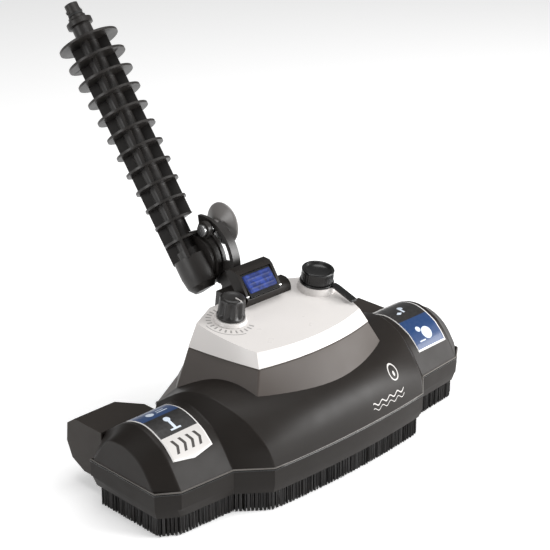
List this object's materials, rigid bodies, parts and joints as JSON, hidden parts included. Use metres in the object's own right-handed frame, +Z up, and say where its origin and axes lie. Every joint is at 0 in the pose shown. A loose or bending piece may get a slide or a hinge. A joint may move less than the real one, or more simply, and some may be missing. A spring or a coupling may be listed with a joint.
{
  "type": "pressure washer floor cleaning head",
  "caption": "Wide wet sweeping head with a brush skirt, end pods, a tank tower with filler and dosing knob, a foot pedal and a ribbed wand on a clamped swivel.",
  "frame": {"origin": "centre of the whole object's box, on the floor under the brush", "axes": "+X towards the end pod on the filler's side, +Y rearwards to the operator, +Z up"},
  "size_m": [0.42, 0.3848, 0.3975],
  "materials": {
    "housing": "moulded, fine satin grain",
    "cap_white": "moulded, light satin",
    "bristle": "stiff drawn filament",
    "gloss_black": "smooth moulded",
    "pedal_blue": "soft matte overmould",
    "label_film": "printed film",
    "knob_grey": "moulded satin",
    "tank_natural": "translucent natural",
    "steel": "plain",
    "brass": "plain",
    "seal_rubber": "smooth",
    "collar_white": "moulded satin"
  },
  "bodies": {
    "head": {"base_frame": "housing", "upper_cover": "housing", "nozzle_hood_left": "housing", "nozzle_hood_right": "housing", "neck_bracket": "housing", "pedal_housing": "housing", "top_cap": "cap_white", "brush_front_center": "bristle", "brush_front_left": "bristle", "brush_front_right": "bristle", "brush_side_left": "bristle", "brush_side_right": "bristle", "brush_rear_left": "bristle", "brush_rear_center": "bristle", "brush_rear_right": "bristle", "filler_strap": "gloss_black", "metering_valve": "gloss_black", "brush_carrier": "gloss_black", "bar_clips": "gloss_black", "bar_plugs": "gloss_black", "manifold": "gloss_black", "inlet_elbow": "gloss_black", "front_spray_bar": "gloss_black", "rear_spray_bar": "gloss_black", "bar_stubs": "gloss_black", "label_left": "label_film", "label_right": "label_film", "detergent_tank": "tank_natural", "pedal_pin": "steel", "pedal_spring": "steel", "pivot_pin": "steel", "pivot_nut": "steel", "cover_screws": "steel", "neck_screws": "steel", "front_nozzles": "brass", "rear_nozzles": "brass", "pivot_seals": "seal_rubber", "dosing_tube": "seal_rubber", "suction_tube": "seal_rubber", "selector_collar": "collar_white"},
    "wand": {"wand_foot": "housing", "wand_body": "housing", "water_tube": "steel", "wand_spigot": "housing", "spigot_seal": "seal_rubber", "clamp_bolt": "steel", "clamp_washer": "steel"},
    "clamp": {"clamp_knob": "knob_grey"},
    "selector": {"selector_knob": "knob_grey", "selector_spindle": "gloss_black"},
    "pedal": {"foot_pedal": "housing", "pedal_pad": "pedal_blue"},
    "filler_lid": {"filler_cap": "gloss_black", "filler_seal": "seal_rubber"}
  },
  "joints": [
    {"name": "wand_tilt", "type": "hinge", "parent": "head", "child": "wand", "pos_m": [0, 0.01121, 0.166], "axis": [1, 0, 0], "range_deg": [0, 52]},
    {"name": "clamp_turn", "type": "hinge", "parent": "wand", "child": "clamp", "pos_m": [0, 0.00299, 0.19899], "axis": [1, 0, 0], "range_deg": [0, 360]},
    {"name": "selector_turn", "type": "hinge", "parent": "head", "child": "selector", "pos_m": [-0.05, -0.07429, 0.13937], "axis": [0, -0.1414, 0.9899], "range_deg": [-60, 60]},
    {"name": "pedal_press", "type": "hinge", "parent": "head", "child": "pedal", "pos_m": [0, -0.06823, 0.15233], "axis": [-1, 0, 0], "range_deg": [0, 8], "stiffness_Nm_per_rad": 2, "springref_deg": -2.29, "deforming": ["pedal_spring"]},
    {"name": "filler_lift", "type": "slide", "parent": "head", "child": "filler_lid", "axis": [0, -0.1414, 0.9899], "range_m": [0, 0.02]}
  ]
}
